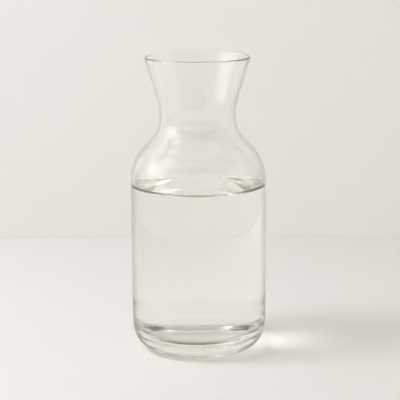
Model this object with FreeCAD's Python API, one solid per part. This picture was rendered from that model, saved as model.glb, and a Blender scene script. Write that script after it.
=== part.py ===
import FreeCAD, Part
import math
import os

# Glass water carafe: one blown piece of clear glass, round about the Z axis.
# It stands on a flat ring under the base, at Z = 0. From the ring the outside
# rises through a rounded heel, a straight-sided body, a convex shoulder, a
# waisted neck and a flared mouth with a fire-polished rim. All sizes are in
# millimetres and all angles in degrees.

OVERALL_HEIGHT = 230.0
MOUTH_RADIUS = 40.6          # outside of the rim, the widest point of the mouth
WALL = 2.3                   # thickness of the wall from the rim down to the heel

WAIST_RADIUS = 29.4          # outside of the neck at its narrowest
MOUTH_HEIGHT = 47.0          # from the waist up to the top of the rim
FLARE_RADIUS = 60.5          # hollow curve from the waist up into the flared mouth
NECK_RADIUS = 24.0           # hollow curve from the waist down towards the shoulder
SHOULDER_SLOPE = 42.9        # steepest lean of the neck, from the vertical
SHOULDER_RADIUS = 36.5       # round curve from the neck's slope into the body

BODY_RADIUS = 52.4
HEEL_SIDE_RADIUS = 40.0      # long upper curve of the heel, below the straight wall
HEEL_FOOT_RADIUS = 18.0      # tighter lower curve of the heel, down to the ring
HEEL_BLEND = 17.0            # lean of the heel where its two curves meet

BASE_THICKNESS = 12.0        # from the table to the inner floor
INNER_HEEL_RADIUS = 22.0     # rounded corner between the inner wall and the floor
RING_WIDTH = 1.5             # flat ring that the carafe stands on
PUSH_UP_HEIGHT = 2.0         # rise of the underside at the axis
RING_EDGE_RADIUS = 6.0       # rounding of the ring's inner edge


def point(radius, height):
    return FreeCAD.Vector(radius, 0.0, height)


def line(start, end):
    return Part.makeLine(start, end)


def polar(centre, radius, angle):
    """The point at an angle round a centre, counted from outwards towards up."""
    turn = math.radians(angle)
    return centre + point(radius * math.cos(turn), radius * math.sin(turn))


def arc(centre, radius, first, last):
    """An arc about a centre from one angle to another."""
    middle = polar(centre, radius, (first + last) / 2.0)
    start = polar(centre, radius, first)
    end = polar(centre, radius, last)
    return Part.Arc(start, middle, end).toShape()


def joined(edges):
    """The edges with a straight line laid across each gap between neighbours."""
    chain = [edges[0]]
    for edge in edges[1:]:
        here = chain[-1].lastVertex().Point
        there = edge.firstVertex().Point
        if here.distanceToPoint(there) > 1e-6:
            chain.append(line(here, there))
        chain.append(edge)
    return chain


# Centres of the curves in the upper half. Each inner curve shares its centre
# with the outer one, so the wall keeps one thickness through every bend.

waist_height = OVERALL_HEIGHT - MOUTH_HEIGHT
slope = math.radians(SHOULDER_SLOPE)
slope_width = BODY_RADIUS - WAIST_RADIUS - (NECK_RADIUS + SHOULDER_RADIUS) * (1.0 - math.cos(slope))
slope_height = slope_width / math.tan(slope)
body_top = waist_height - (NECK_RADIUS + SHOULDER_RADIUS) * math.sin(slope) - slope_height

flare_centre = point(WAIST_RADIUS + FLARE_RADIUS, waist_height)
neck_centre = point(WAIST_RADIUS + NECK_RADIUS, waist_height)
shoulder_centre = point(BODY_RADIUS - SHOULDER_RADIUS, body_top)
rim_centre = point(MOUTH_RADIUS - WALL / 2.0, OVERALL_HEIGHT - WALL / 2.0)

# The straight part of the flare runs from the flare curve to the rim, tangent
# to both. The lean that does this follows from where the middle of the wall
# touches the curve.

middle_radius = FLARE_RADIUS + WALL / 2.0
reach = rim_centre - flare_centre
bearing = math.degrees(math.atan2(reach.z, -reach.x))
flare = bearing - math.degrees(math.acos(middle_radius / reach.Length))

# Centres of the curves in the lower half.

blend = math.radians(HEEL_BLEND)
foot_width = HEEL_SIDE_RADIUS - (HEEL_SIDE_RADIUS - HEEL_FOOT_RADIUS) * math.cos(blend)
side_height = HEEL_FOOT_RADIUS + (HEEL_SIDE_RADIUS - HEEL_FOOT_RADIUS) * math.sin(blend)
side_centre = point(BODY_RADIUS - HEEL_SIDE_RADIUS, side_height)
foot_centre = point(BODY_RADIUS - foot_width, HEEL_FOOT_RADIUS)
push_up_radius = foot_centre.x - RING_WIDTH
inner_heel_centre = point(BODY_RADIUS - WALL - INNER_HEEL_RADIUS, BASE_THICKNESS + INNER_HEEL_RADIUS)

# The underside rises from the ring in a round edge and then a wide dome, which
# meet at one lean and reach the axis level.

rise = 2.0 * math.degrees(math.atan(PUSH_UP_HEIGHT / push_up_radius))
dome_radius = push_up_radius / math.sin(math.radians(rise)) - RING_EDGE_RADIUS
dome_centre = point(0.0, PUSH_UP_HEIGHT - dome_radius)
edge_centre = point(push_up_radius, RING_EDGE_RADIUS)

# Half of the cross-section, from the axis under the base, up the outside, over
# the rim and down the inside to the axis again.

outside = [
    arc(dome_centre, dome_radius, 90.0, 90.0 - rise),
    arc(edge_centre, RING_EDGE_RADIUS, 270.0 - rise, 270.0),
    arc(foot_centre, HEEL_FOOT_RADIUS, 270.0, 360.0 - HEEL_BLEND),
    arc(side_centre, HEEL_SIDE_RADIUS, -HEEL_BLEND, 0.0),
    arc(shoulder_centre, SHOULDER_RADIUS, 0.0, SHOULDER_SLOPE),
    arc(neck_centre, NECK_RADIUS, 180.0 + SHOULDER_SLOPE, 180.0),
    arc(flare_centre, FLARE_RADIUS, 180.0, 180.0 - flare),
]
rim = arc(rim_centre, WALL / 2.0, -flare, 180.0 - flare)
inside = [
    arc(flare_centre, FLARE_RADIUS + WALL, 180.0 - flare, 180.0),
    arc(neck_centre, NECK_RADIUS + WALL, 180.0, 180.0 + SHOULDER_SLOPE),
    arc(shoulder_centre, SHOULDER_RADIUS - WALL, SHOULDER_SLOPE, 0.0),
    arc(inner_heel_centre, INNER_HEEL_RADIUS, 0.0, -90.0),
]
floor_end = point(0.0, BASE_THICKNESS)
floor_line = line(inside[-1].lastVertex().Point, floor_end)
axis_line = line(floor_end, point(0.0, PUSH_UP_HEIGHT))

profile = Part.Wire(joined(outside + [rim] + inside + [floor_line, axis_line]))
section = Part.Face(profile)
glass_body = section.revolve(point(0.0, 0.0), FreeCAD.Vector(0.0, 0.0, 1.0), 360.0)

os.makedirs("parts", exist_ok=True)
glass_body.exportStep("parts/glass_body.step")
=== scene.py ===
import math
import bpy
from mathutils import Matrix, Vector


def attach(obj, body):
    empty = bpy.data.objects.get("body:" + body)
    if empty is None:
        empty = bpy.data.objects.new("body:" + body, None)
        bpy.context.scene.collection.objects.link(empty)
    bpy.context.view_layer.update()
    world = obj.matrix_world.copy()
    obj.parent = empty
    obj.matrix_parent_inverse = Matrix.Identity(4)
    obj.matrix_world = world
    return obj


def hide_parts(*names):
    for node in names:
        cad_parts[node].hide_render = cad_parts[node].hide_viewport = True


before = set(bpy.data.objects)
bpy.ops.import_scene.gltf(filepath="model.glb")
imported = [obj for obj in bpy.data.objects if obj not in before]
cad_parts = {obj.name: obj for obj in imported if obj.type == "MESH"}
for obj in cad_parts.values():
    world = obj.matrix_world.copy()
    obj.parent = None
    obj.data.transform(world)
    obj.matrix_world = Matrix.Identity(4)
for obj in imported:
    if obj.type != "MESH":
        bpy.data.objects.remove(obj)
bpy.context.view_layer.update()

# ---------------------------------------------------------------------------
# Camera: a long lens in front of the carafe, a little above it. Light bends
# many times in glass and water, so it is followed through many surfaces.

SENSOR_WIDTH = 36.0           # mm
LENS = 144.0                  # mm
CAMERA_PITCH = 11.456         # degrees that the camera looks down
CAMERA_ROLL = -0.387          # degrees, the photograph's small tilt
CAMERA_REACH = 1.248          # m from the point looked at
AIM = Vector((0.0013, 0.0, 0.1176))
LIGHT_BOUNCES = 96
MIRROR_BOUNCES = 72

pitch = math.radians(CAMERA_PITCH)
towards_camera = Vector((0.0, -math.cos(pitch), math.sin(pitch)))
camera_data = bpy.data.cameras.new("camera")
camera_data.sensor_width = SENSOR_WIDTH
camera_data.lens = LENS
camera = bpy.data.objects.new("camera", camera_data)
camera.location = AIM + towards_camera * CAMERA_REACH
camera.rotation_euler = (-towards_camera).to_track_quat("-Z", "Y").to_euler()
camera.rotation_euler.rotate_axis("Z", math.radians(CAMERA_ROLL))
scene = bpy.context.scene
scene.collection.objects.link(camera)
scene.camera = camera
scene.view_settings.view_transform = "Standard"
scene.cycles.max_bounces = LIGHT_BOUNCES
scene.cycles.transmission_bounces = LIGHT_BOUNCES
scene.cycles.glossy_bounces = MIRROR_BOUNCES
scene.cycles.blur_glossy = 0.0

# ---------------------------------------------------------------------------
# Glass body: the whole carafe in one piece of clear glass, with a thick base, a
# waisted neck and a fire-polished rim. It is turned from the same half section
# as the solid. Sizes are in mm and angles in degrees.

MM = 0.001
OVERALL_HEIGHT = 230.0
MOUTH_RADIUS = 40.6
WALL = 2.3
WAIST_RADIUS = 29.4
MOUTH_HEIGHT = 47.0           # from the waist up to the top of the rim
FLARE_RADIUS = 60.5
NECK_RADIUS = 24.0
SHOULDER_SLOPE = 42.9         # from the vertical
SHOULDER_RADIUS = 36.5
BODY_RADIUS = 52.4
HEEL_SIDE_RADIUS = 40.0
HEEL_FOOT_RADIUS = 18.0
HEEL_BLEND = 17.0             # lean of the heel where its two curves meet
BASE_THICKNESS = 12.0
INNER_HEEL_RADIUS = 22.0
RING_WIDTH = 1.5
PUSH_UP_HEIGHT = 2.0
RING_EDGE_RADIUS = 6.0

# The water wets the wall up to the top of its meniscus.
WATER_LEVEL = 128.6
MENISCUS_RISE = 3.3
MENISCUS_REACH = 2.0          # from the wall to where it stands 37 percent as high
CONTACT_HEIGHT = WATER_LEVEL + MENISCUS_RISE

FACETS_AROUND = 192
FACET_TURN = 2.0              # about, between one point of an arc and the next
FACET_LENGTH = 4.0            # the most between any point and the next
LEAST_STEPS = 4               # in an arc, however short it is
SAME_POINT = 1e-4             # points closer than this are one
ON_AXIS = 1e-6                # a smaller radius is the axis itself


def arc(centre, radius, first, last):
    """Points of an arc as (radius, height, normal out, normal up).

    The angles count from outwards towards up. Followed in the direction of
    the cross-section, glass lies on the left, so an arc that turns clockwise
    is hollow and its normal points to its centre.
    """
    steps = max(LEAST_STEPS, round(abs(last - first) / FACET_TURN))
    facing = 1.0 if last > first else -1.0
    points = []
    for i in range(steps + 1):
        turn = math.radians(first + (last - first) * i / steps)
        out, up = math.cos(turn), math.sin(turn)
        place = (centre[0] + radius * out, centre[1] + radius * up)
        points.append((*place, facing * out, facing * up))
    return points


def between(start, end, share):
    """The point that lies a share of the way from start to end."""
    return tuple(a + (b - a) * share for a, b in zip(start, end))


def filled(points):
    """The points with more laid along each long run, and none twice in one place."""
    chain = [points[0]]
    for point in points[1:]:
        last = chain[-1]
        gap = math.hypot(point[0] - last[0], point[1] - last[1])
        if gap < SAME_POINT:
            chain[-1] = point
            continue
        extra = int(gap / FACET_LENGTH)
        chain += [between(last, point, i / (extra + 1)) for i in range(1, extra + 1)]
        chain.append(point)
    return chain


def cut_at(points, height):
    """The points with one added where a run crosses the height."""
    chain = [points[0]]
    for point in points[1:]:
        last = chain[-1]
        low, high = sorted((last[1], point[1]))
        if low < height < high:
            chain.append(between(last, point, (height - last[1]) / (point[1] - last[1])))
        chain.append(point)
    return chain


def turned(name, *sections):
    """A closed surface turned from sections that join end to end.

    A section is a list of (radius, height, normal out, normal up) in mm, and
    the faces of each section take the material slot of its number.
    """
    points, normals, rings, faces, slots = [], [], [], [], []
    for number, section in enumerate(sections):
        for radius, height, out, up in section[1:] if number else section:
            on_axis = radius < ON_AXIS
            count = 1 if on_axis else FACETS_AROUND
            across = 0.0 if on_axis else out
            rings.append((number, [len(points) + k for k in range(count)]))
            for k in range(count):
                turn = 2.0 * math.pi * k / FACETS_AROUND
                x, y = math.cos(turn), math.sin(turn)
                points.append((radius * MM * x, radius * MM * y, height * MM))
                normals.append(Vector((across * x, across * y, up)).normalized())
    for (_, lower), (number, upper) in zip(rings, rings[1:]):
        for k in range(FACETS_AROUND):
            after = (k + 1) % FACETS_AROUND
            if len(lower) == 1:
                faces.append((lower[0], upper[after], upper[k]))
            elif len(upper) == 1:
                faces.append((lower[k], lower[after], upper[0]))
            else:
                faces.append((lower[k], lower[after], upper[after], upper[k]))
            slots.append(number)
    mesh = bpy.data.meshes.new(name)
    mesh.from_pydata(points, [], faces)
    mesh.polygons.foreach_set("use_smooth", [True] * len(faces))
    mesh.polygons.foreach_set("material_index", slots)
    mesh.normals_split_custom_set_from_vertices(normals)
    made = bpy.data.objects.new(name, mesh)
    scene.collection.objects.link(made)
    return made


slope = math.radians(SHOULDER_SLOPE)
both_curves = NECK_RADIUS + SHOULDER_RADIUS
waist_height = OVERALL_HEIGHT - MOUTH_HEIGHT
slope_width = BODY_RADIUS - WAIST_RADIUS - both_curves * (1.0 - math.cos(slope))
slope_height = slope_width / math.tan(slope)
body_top = waist_height - both_curves * math.sin(slope) - slope_height
flare_centre = (WAIST_RADIUS + FLARE_RADIUS, waist_height)
neck_centre = (WAIST_RADIUS + NECK_RADIUS, waist_height)
shoulder_centre = (BODY_RADIUS - SHOULDER_RADIUS, body_top)
rim_centre = (MOUTH_RADIUS - WALL / 2.0, OVERALL_HEIGHT - WALL / 2.0)

# The flare leans so that its straight part is tangent to its curve and the rim.
reach_out = flare_centre[0] - rim_centre[0]
reach_up = rim_centre[1] - flare_centre[1]
bearing = math.degrees(math.atan2(reach_up, reach_out))
lean_cosine = (FLARE_RADIUS + WALL / 2.0) / math.hypot(reach_out, reach_up)
flare = bearing - math.degrees(math.acos(lean_cosine))

blend = math.radians(HEEL_BLEND)
foot_width = HEEL_SIDE_RADIUS - (HEEL_SIDE_RADIUS - HEEL_FOOT_RADIUS) * math.cos(blend)
side_height = HEEL_FOOT_RADIUS + (HEEL_SIDE_RADIUS - HEEL_FOOT_RADIUS) * math.sin(blend)
side_centre = (BODY_RADIUS - HEEL_SIDE_RADIUS, side_height)
foot_centre = (BODY_RADIUS - foot_width, HEEL_FOOT_RADIUS)
inner_heel_centre = (BODY_RADIUS - WALL - INNER_HEEL_RADIUS, BASE_THICKNESS + INNER_HEEL_RADIUS)
push_up_radius = foot_centre[0] - RING_WIDTH
rise = 2.0 * math.degrees(math.atan(PUSH_UP_HEIGHT / push_up_radius))
dome_radius = push_up_radius / math.sin(math.radians(rise)) - RING_EDGE_RADIUS

underside = (
    arc((0.0, PUSH_UP_HEIGHT - dome_radius), dome_radius, 90.0, 90.0 - rise)
    + arc((push_up_radius, RING_EDGE_RADIUS), RING_EDGE_RADIUS, 270.0 - rise, 270.0)
)
outside = (
    underside[-1:]
    + arc(foot_centre, HEEL_FOOT_RADIUS, 270.0, 360.0 - HEEL_BLEND)
    + arc(side_centre, HEEL_SIDE_RADIUS, -HEEL_BLEND, 0.0)
    + arc(shoulder_centre, SHOULDER_RADIUS, 0.0, SHOULDER_SLOPE)
    + arc(neck_centre, NECK_RADIUS, 180.0 + SHOULDER_SLOPE, 180.0)
    + arc(flare_centre, FLARE_RADIUS, 180.0, 180.0 - flare)
    + arc(rim_centre, WALL / 2.0, -flare, 90.0)
)
inside = (
    arc(rim_centre, WALL / 2.0, 90.0, 180.0 - flare)
    + arc(flare_centre, FLARE_RADIUS + WALL, 180.0 - flare, 180.0)
    + arc(neck_centre, NECK_RADIUS + WALL, 180.0, 180.0 + SHOULDER_SLOPE)
    + arc(shoulder_centre, SHOULDER_RADIUS - WALL, SHOULDER_SLOPE, 0.0)
    + arc(inner_heel_centre, INNER_HEEL_RADIUS, 0.0, -90.0)
    + [(0.0, BASE_THICKNESS, 0.0, 1.0)]
)
wall_down = cut_at(filled(inside), CONTACT_HEIGHT)
wetted = [point for point in wall_down if point[1] <= CONTACT_HEIGHT]
dry = [point for point in wall_down if point[1] >= CONTACT_HEIGHT]
glass = turned("carafe_glass", filled(underside), filled(outside), dry, wetted)

GLASS_IOR = 1.52
WATER_IOR = 1.333
WALL_TINT = (0.995, 1.0, 0.985)
BASE_TINT = (0.955, 0.975, 0.935)
BASE_TINT_TOP = 0.010         # m above the table, up to where the base has its full tint
WALL_TINT_FOOT = 0.030        # m above the table, from where the wall has its own
RIPPLE_DEPTH = 0.06 * MM
RIPPLE_SCALE = 45.0           # cells of the noise in a metre

# How far the glass is turned away from view, from 0 to 1, where its painted
# shade starts and where it is darkest, and how light it still is there. The skin
# gets painted shade towards its outline. The underside gets it sooner, as painted
# shade for the table's shade under the base. It is clear where it is seen steeply,
# and its shallow view is the dark line of the base. Both are painted shade for
# the looks, and clear glass has no such tint.
SKIN_PAINTED_SHADE = (0.6, 1.0, 0.0)
UNDERSIDE_PAINTED_SHADE = (0.11, 0.23, 0.04)


def polished(name, ior):
    """A clear polished material, and its shader."""
    material = bpy.data.materials.new(name)
    material.use_nodes = True
    shader = material.node_tree.nodes["Principled BSDF"]
    shader.inputs["Roughness"].default_value = 0.0
    shader.inputs["IOR"].default_value = ior
    shader.inputs["Transmission Weight"].default_value = 1.0
    return material, shader


def ramp(nodes, first, last, at_first, at_last, smooth=True):
    """A value that goes from at_first to at_last as its input goes from first to last."""
    made = nodes.new("ShaderNodeMapRange")
    made.interpolation_type = "SMOOTHSTEP" if smooth else "LINEAR"
    made.inputs["From Min"].default_value = first
    made.inputs["From Max"].default_value = last
    made.inputs["To Min"].default_value = at_first
    made.inputs["To Max"].default_value = at_last
    return made


def clear_glass(name, ior, painted_shade=None):
    """Polished glass with a faint ripple, a little greener in the base.

    Glass given no painted shade is the dry inside, which is all above the base. The
    rest has painted shade that deepens as it turns away from view.
    """
    material, shader = polished(name, ior)
    nodes, links = material.node_tree.nodes, material.node_tree.links
    place = nodes.new("ShaderNodeTexCoord")
    ripple = nodes.new("ShaderNodeTexNoise")
    ripple.inputs["Scale"].default_value = RIPPLE_SCALE
    ripple.inputs["Detail"].default_value = 1.0
    bump = nodes.new("ShaderNodeBump")
    bump.inputs["Strength"].default_value = 1.0
    bump.inputs["Distance"].default_value = RIPPLE_DEPTH
    links.new(place.outputs["Object"], ripple.inputs["Vector"])
    links.new(ripple.outputs["Fac"], bump.inputs["Height"])
    links.new(bump.outputs["Normal"], shader.inputs["Normal"])
    if painted_shade is None:
        shader.inputs["Base Color"].default_value = (*WALL_TINT, 1.0)
        return material
    start, end, least = painted_shade
    axes = nodes.new("ShaderNodeSeparateXYZ")
    height = ramp(nodes, BASE_TINT_TOP, WALL_TINT_FOOT, 0.0, 1.0)
    tint = nodes.new("ShaderNodeMix")
    tint.data_type = "RGBA"
    tint.inputs["A"].default_value = (*BASE_TINT, 1.0)
    tint.inputs["B"].default_value = (*WALL_TINT, 1.0)
    # Painted shade: the tint is scaled down as the glass turns away from view.
    turned_away = nodes.new("ShaderNodeLayerWeight")
    turned_away.inputs["Blend"].default_value = 0.5
    edge = ramp(nodes, start, end, 1.0, least, smooth=False)
    shaded_tint = nodes.new("ShaderNodeVectorMath")
    shaded_tint.operation = "SCALE"
    links.new(place.outputs["Object"], axes.inputs["Vector"])
    links.new(axes.outputs["Z"], height.inputs["Value"])
    links.new(height.outputs["Result"], tint.inputs["Factor"])
    links.new(turned_away.outputs["Facing"], edge.inputs["Value"])
    links.new(tint.outputs["Result"], shaded_tint.inputs["Vector"])
    links.new(edge.outputs["Result"], shaded_tint.inputs["Scale"])
    links.new(shaded_tint.outputs["Vector"], shader.inputs["Base Color"])
    return material


glass.data.materials.append(clear_glass("clear_glass_under", GLASS_IOR, UNDERSIDE_PAINTED_SHADE))
glass.data.materials.append(clear_glass("clear_glass", GLASS_IOR, SKIN_PAINTED_SHADE))
glass.data.materials.append(clear_glass("clear_glass_inside", GLASS_IOR))
glass.data.materials.append(clear_glass("wetted_glass", GLASS_IOR / WATER_IOR, SKIN_PAINTED_SHADE))
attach(glass, "root")
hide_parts("glass_body")

# ---------------------------------------------------------------------------
# Water: clear water up to just below the shoulder, with a meniscus. The wetted
# glass bends the light as it goes from glass to water, so the water's own side,
# a hair inside it, bends nothing and only closes it.

WATER_GAP = 0.03              # mm between the wetted wall and the water's side
SURFACE_STEPS = 60
CROWDED_AT_SHORE = 2.2        # over 1, the surface's rings lie closer at the wall

side = []
for radius, height, out, up in reversed(wetted):
    inner_radius = max(radius + out * WATER_GAP, 0.0)
    side.append((inner_radius, height + up * WATER_GAP, -out, -up))
shore = side[-1][0]
surface = []
for i in range(SURFACE_STEPS + 1):
    inward = shore * (i / SURFACE_STEPS) ** CROWDED_AT_SHORE
    lift = MENISCUS_RISE * math.exp(-inward / MENISCUS_REACH)
    surface.append((shore - inward, WATER_LEVEL + lift, -lift / MENISCUS_REACH, 1.0))
water = turned("water", side, surface)
for name, ior in (("water_side", 1.0), ("water_surface", WATER_IOR)):
    material, shader = polished(name, ior)
    shader.inputs["Base Color"].default_value = (1.0, 1.0, 1.0, 1.0)
    water.data.materials.append(material)
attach(water, "root")

# ---------------------------------------------------------------------------
# Table and backdrop: one pale matt sheet that lies flat and turns up in a tight
# bend behind the carafe. From behind it is clear. The upright part glows faintly
# where it is seen, mirrored or looked at through glass, but lights nothing directly.

BACKDROP_DISTANCE = 0.388     # m behind the carafe's axis
BEND_RADIUS = 0.0006          # m
BEND_STEPS = 12
TABLE_GAP = 0.0002            # m that the sheet lies under the ring of the base
SHEET_SIDE = 1.5              # m to the left and to the right
SHEET_NEAR = -2.0             # m, where the sheet ends on the camera's side
SHEET_TOP = 1.5               # m above the table
PAPER_ROUGHNESS = 0.9
PAPER_GLOSS = 0.1
WALL_FROM = 0.3 * BEND_RADIUS  # the height where the table starts to be wall
WALL_FULL = 2.0 * BEND_RADIUS  # the height from which it is all wall
GLOW_SIDE = 0.2               # m to each side, over which the glow changes
GLOW_LEFT = 0.11
GLOW_RIGHT = 0.135


def srgb(red, green, blue):
    """A screen's colour of 0 to 255 a channel, in linear values. It isn't for the darkest colours."""
    return tuple(((part / 255.0 + 0.055) / 1.055) ** 2.4 for part in (red, green, blue))


def stage_mesh(name, points, faces):
    """A mesh object round the carafe that isn't a piece of it."""
    mesh = bpy.data.meshes.new(name)
    mesh.from_pydata(points, [], faces)
    made = bpy.data.objects.new(name, mesh)
    scene.collection.objects.link(made)
    return made


def calculation(nodes, operation):
    """A node that works one number out of one or two others."""
    made = nodes.new("ShaderNodeMath")
    made.operation = operation
    return made


TABLE_COLOUR = srgb(238, 235, 230)
WALL_COLOUR = srgb(233, 231, 227)

line = [(SHEET_NEAR, -TABLE_GAP)]
for i in range(BEND_STEPS + 1):
    turn = math.radians(90.0 * i / BEND_STEPS)
    bend_y = BACKDROP_DISTANCE - BEND_RADIUS * (1.0 - math.sin(turn))
    line.append((bend_y, BEND_RADIUS * (1.0 - math.cos(turn)) - TABLE_GAP))
line.append((BACKDROP_DISTANCE, SHEET_TOP))
sheet_points = [(x, y, z) for y, z in line for x in (-SHEET_SIDE, SHEET_SIDE)]
sheet_faces = [(2 * i, 2 * i + 1, 2 * i + 3, 2 * i + 2) for i in range(len(line) - 1)]
sheet = stage_mesh("table_and_backdrop", sheet_points, sheet_faces)
sheet.data.polygons.foreach_set("use_smooth", [True] * len(sheet_faces))

paper = bpy.data.materials.new("pale_paper")
paper.use_nodes = True
nodes, links = paper.node_tree.nodes, paper.node_tree.links
shader = nodes["Principled BSDF"]
shader.inputs["Roughness"].default_value = PAPER_ROUGHNESS
shader.inputs["Specular IOR Level"].default_value = PAPER_GLOSS
shader.inputs["Emission Color"].default_value = (*WALL_COLOUR, 1.0)
place = nodes.new("ShaderNodeNewGeometry")
axes = nodes.new("ShaderNodeSeparateXYZ")
upright = ramp(nodes, WALL_FROM, WALL_FULL, 0.0, 1.0)
colour = nodes.new("ShaderNodeMix")
colour.data_type = "RGBA"
colour.inputs["A"].default_value = (*TABLE_COLOUR, 1.0)
colour.inputs["B"].default_value = (*WALL_COLOUR, 1.0)
links.new(place.outputs["Position"], axes.inputs["Vector"])
links.new(axes.outputs["Z"], upright.inputs["Value"])
links.new(upright.outputs["Result"], colour.inputs["Factor"])
links.new(colour.outputs["Result"], shader.inputs["Base Color"])

path = nodes.new("ShaderNodeLightPath")
seen_or_mirrored = calculation(nodes, "MAXIMUM")
seen = calculation(nodes, "MAXIMUM")
sideways = ramp(nodes, -GLOW_SIDE, GLOW_SIDE, GLOW_LEFT, GLOW_RIGHT, smooth=False)
glow = calculation(nodes, "MULTIPLY")
wall_glow = calculation(nodes, "MULTIPLY")
links.new(path.outputs["Is Camera Ray"], seen_or_mirrored.inputs[0])
links.new(path.outputs["Is Glossy Ray"], seen_or_mirrored.inputs[1])
links.new(seen_or_mirrored.outputs["Value"], seen.inputs[0])
links.new(path.outputs["Is Transmission Ray"], seen.inputs[1])
links.new(axes.outputs["X"], sideways.inputs["Value"])
links.new(sideways.outputs["Result"], glow.inputs[0])
links.new(seen.outputs["Value"], glow.inputs[1])
links.new(glow.outputs["Value"], wall_glow.inputs[0])
links.new(upright.outputs["Result"], wall_glow.inputs[1])
links.new(wall_glow.outputs["Value"], shader.inputs["Emission Strength"])

one_sided = nodes.new("ShaderNodeMixShader")
clear_back = nodes.new("ShaderNodeBsdfTransparent")
links.new(place.outputs["Backfacing"], one_sided.inputs["Fac"])
links.new(shader.outputs["BSDF"], one_sided.inputs[1])
links.new(clear_back.outputs["BSDF"], one_sided.inputs[2])
links.new(one_sided.outputs["Shader"], nodes["Material Output"].inputs["Surface"])
sheet.data.materials.append(paper)

# ---------------------------------------------------------------------------
# Room: an even pale light from all round. The camera sees another room through
# the glass, a little brighter and with a dark patch in front, for the looks.
# What lights the table, also through the glass, is the even one.

WORLD_LEVEL = 0.62
WORLD_COLOUR = (1.0, 0.958, 0.90)
ROOM_LEVEL = 0.70             # seen through the glass, away from the dark patch
DARK_LEVEL = 0.05
DARK_TOWARDS = (0.25, -0.9, 0.27)
DARK_EDGE = 0.62              # cosines of the angle from the middle of the patch
DARK_CORE = 0.85
TOUCHED_NOTHING = 0.5         # matt surfaces met, between none and one

world = bpy.data.worlds.new("world")
scene.world = world
world.use_nodes = True
nodes, links = world.node_tree.nodes, world.node_tree.links
background = nodes["Background"]
background.inputs["Color"].default_value = (*WORLD_COLOUR, 1.0)
towards = nodes.new("ShaderNodeTexCoord")
nearness = nodes.new("ShaderNodeVectorMath")
nearness.operation = "DOT_PRODUCT"
nearness.inputs[1].default_value = Vector(DARK_TOWARDS).normalized()
room = ramp(nodes, DARK_EDGE, DARK_CORE, ROOM_LEVEL, DARK_LEVEL)
path = nodes.new("ShaderNodeLightPath")
first = calculation(nodes, "LESS_THAN")
first.inputs[1].default_value = TOUCHED_NOTHING
through_glass = calculation(nodes, "MULTIPLY")
level = nodes.new("ShaderNodeMix")
level.inputs["A"].default_value = WORLD_LEVEL
links.new(towards.outputs["Generated"], nearness.inputs[0])
links.new(nearness.outputs["Value"], room.inputs["Value"])
links.new(path.outputs["Diffuse Depth"], first.inputs[0])
links.new(path.outputs["Is Transmission Ray"], through_glass.inputs[0])
links.new(first.outputs["Value"], through_glass.inputs[1])
links.new(through_glass.outputs["Value"], level.inputs["Factor"])
links.new(room.outputs["Result"], level.inputs["B"])
links.new(level.outputs["Result"], background.inputs["Strength"])

# ---------------------------------------------------------------------------
# Lamps: two soft glowing cards on the left. The high one casts the shadow and
# the bright streak in it. The low one shows in the glass, and lights nothing
# matt directly. Angles are in degrees and sizes in metres.


def direction(azimuth, elevation):
    """A unit vector: azimuth 0 is towards the camera and 90 to the right."""
    a, e = math.radians(azimuth), math.radians(elevation)
    return Vector((math.sin(a) * math.cos(e), -math.cos(a) * math.cos(e), math.sin(e)))


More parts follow.
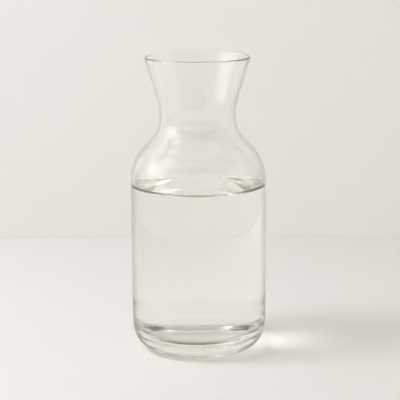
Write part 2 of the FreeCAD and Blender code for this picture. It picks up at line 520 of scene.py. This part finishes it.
def lit_card(name, towards, reach, wide, high, soft, strengths, colour):
    """A glowing card that faces the carafe and fades out to nothing at its edges.

    Soft is the share of the way out over which it fades. The strengths are that
    of its direct light, that of its light on matt things through the glass, and
    that with which it is seen through the glass. It is never seen directly.
    """
    direct, cast_through, seen_through = strengths
    x, y = wide / 2.0, high / 2.0
    corners = [(-x, -y, 0.0), (x, -y, 0.0), (x, y, 0.0), (-x, y, 0.0)]
    made = stage_mesh(name, corners, [(0, 1, 2, 3)])
    made.location = towards * reach
    made.rotation_euler = towards.to_track_quat("-Z", "Y").to_euler()
    made.visible_camera = False
    material = bpy.data.materials.new(name)
    material.use_nodes = True
    nodes, links = material.node_tree.nodes, material.node_tree.links
    nodes.clear()
    place = nodes.new("ShaderNodeTexCoord")
    axes = nodes.new("ShaderNodeSeparateXYZ")
    shape = calculation(nodes, "MULTIPLY")
    links.new(place.outputs["Object"], axes.inputs["Vector"])
    for slot, (axis, half) in enumerate((("X", x), ("Y", y))):
        away = calculation(nodes, "ABSOLUTE")
        fade = ramp(nodes, half * (1.0 - soft), half, 1.0, 0.0)
        links.new(axes.outputs[axis], away.inputs[0])
        links.new(away.outputs["Value"], fade.inputs["Value"])
        links.new(fade.outputs["Result"], shape.inputs[slot])
    path = nodes.new("ShaderNodeLightPath")
    through = nodes.new("ShaderNodeMix")
    through.inputs["A"].default_value = seen_through
    through.inputs["B"].default_value = cast_through
    strength = nodes.new("ShaderNodeMix")
    strength.inputs["A"].default_value = direct
    lamp = nodes.new("ShaderNodeEmission")
    lamp.inputs["Color"].default_value = (*colour, 1.0)
    nothing = nodes.new("ShaderNodeBsdfTransparent")
    card = nodes.new("ShaderNodeMixShader")
    output = nodes.new("ShaderNodeOutputMaterial")
    links.new(path.outputs["Diffuse Depth"], through.inputs["Factor"])
    links.new(through.outputs["Result"], strength.inputs["B"])
    links.new(path.outputs["Is Transmission Ray"], strength.inputs["Factor"])
    links.new(strength.outputs["Result"], lamp.inputs["Strength"])
    links.new(shape.outputs["Value"], card.inputs["Fac"])
    links.new(nothing.outputs["BSDF"], card.inputs[1])
    links.new(lamp.outputs["Emission"], card.inputs[2])
    links.new(card.outputs["Shader"], output.inputs["Surface"])
    made.data.materials.append(material)
    return made


KEY_AZIMUTH = -76.0
KEY_ELEVATION = 50.0
KEY_REACH = 1.5
KEY_WIDE = 1.2
KEY_HIGH = 0.93
KEY_SOFT = 1.0
KEY_STRENGTHS = (12.6, 6.9, 4.5)
KEY_COLOUR = (0.96, 1.0, 1.12)
key = lit_card("key_softbox", direction(KEY_AZIMUTH, KEY_ELEVATION), KEY_REACH,
               KEY_WIDE, KEY_HIGH, KEY_SOFT, KEY_STRENGTHS, KEY_COLOUR)
key.visible_glossy = False

SCREEN_AZIMUTH = -84.0
SCREEN_ELEVATION = 28.0
SCREEN_REACH = 1.15
SCREEN_WIDE = 1.3
SCREEN_HIGH = 1.05
SCREEN_SOFT = 0.8
SCREEN_STRENGTH = 2.6
SCREEN_COLOUR = (1.0, 1.0, 1.0)
screen = lit_card("lit_screen", direction(SCREEN_AZIMUTH, SCREEN_ELEVATION), SCREEN_REACH,
                  SCREEN_WIDE, SCREEN_HIGH, SCREEN_SOFT, (SCREEN_STRENGTH,) * 3, SCREEN_COLOUR)
screen.visible_diffuse = False
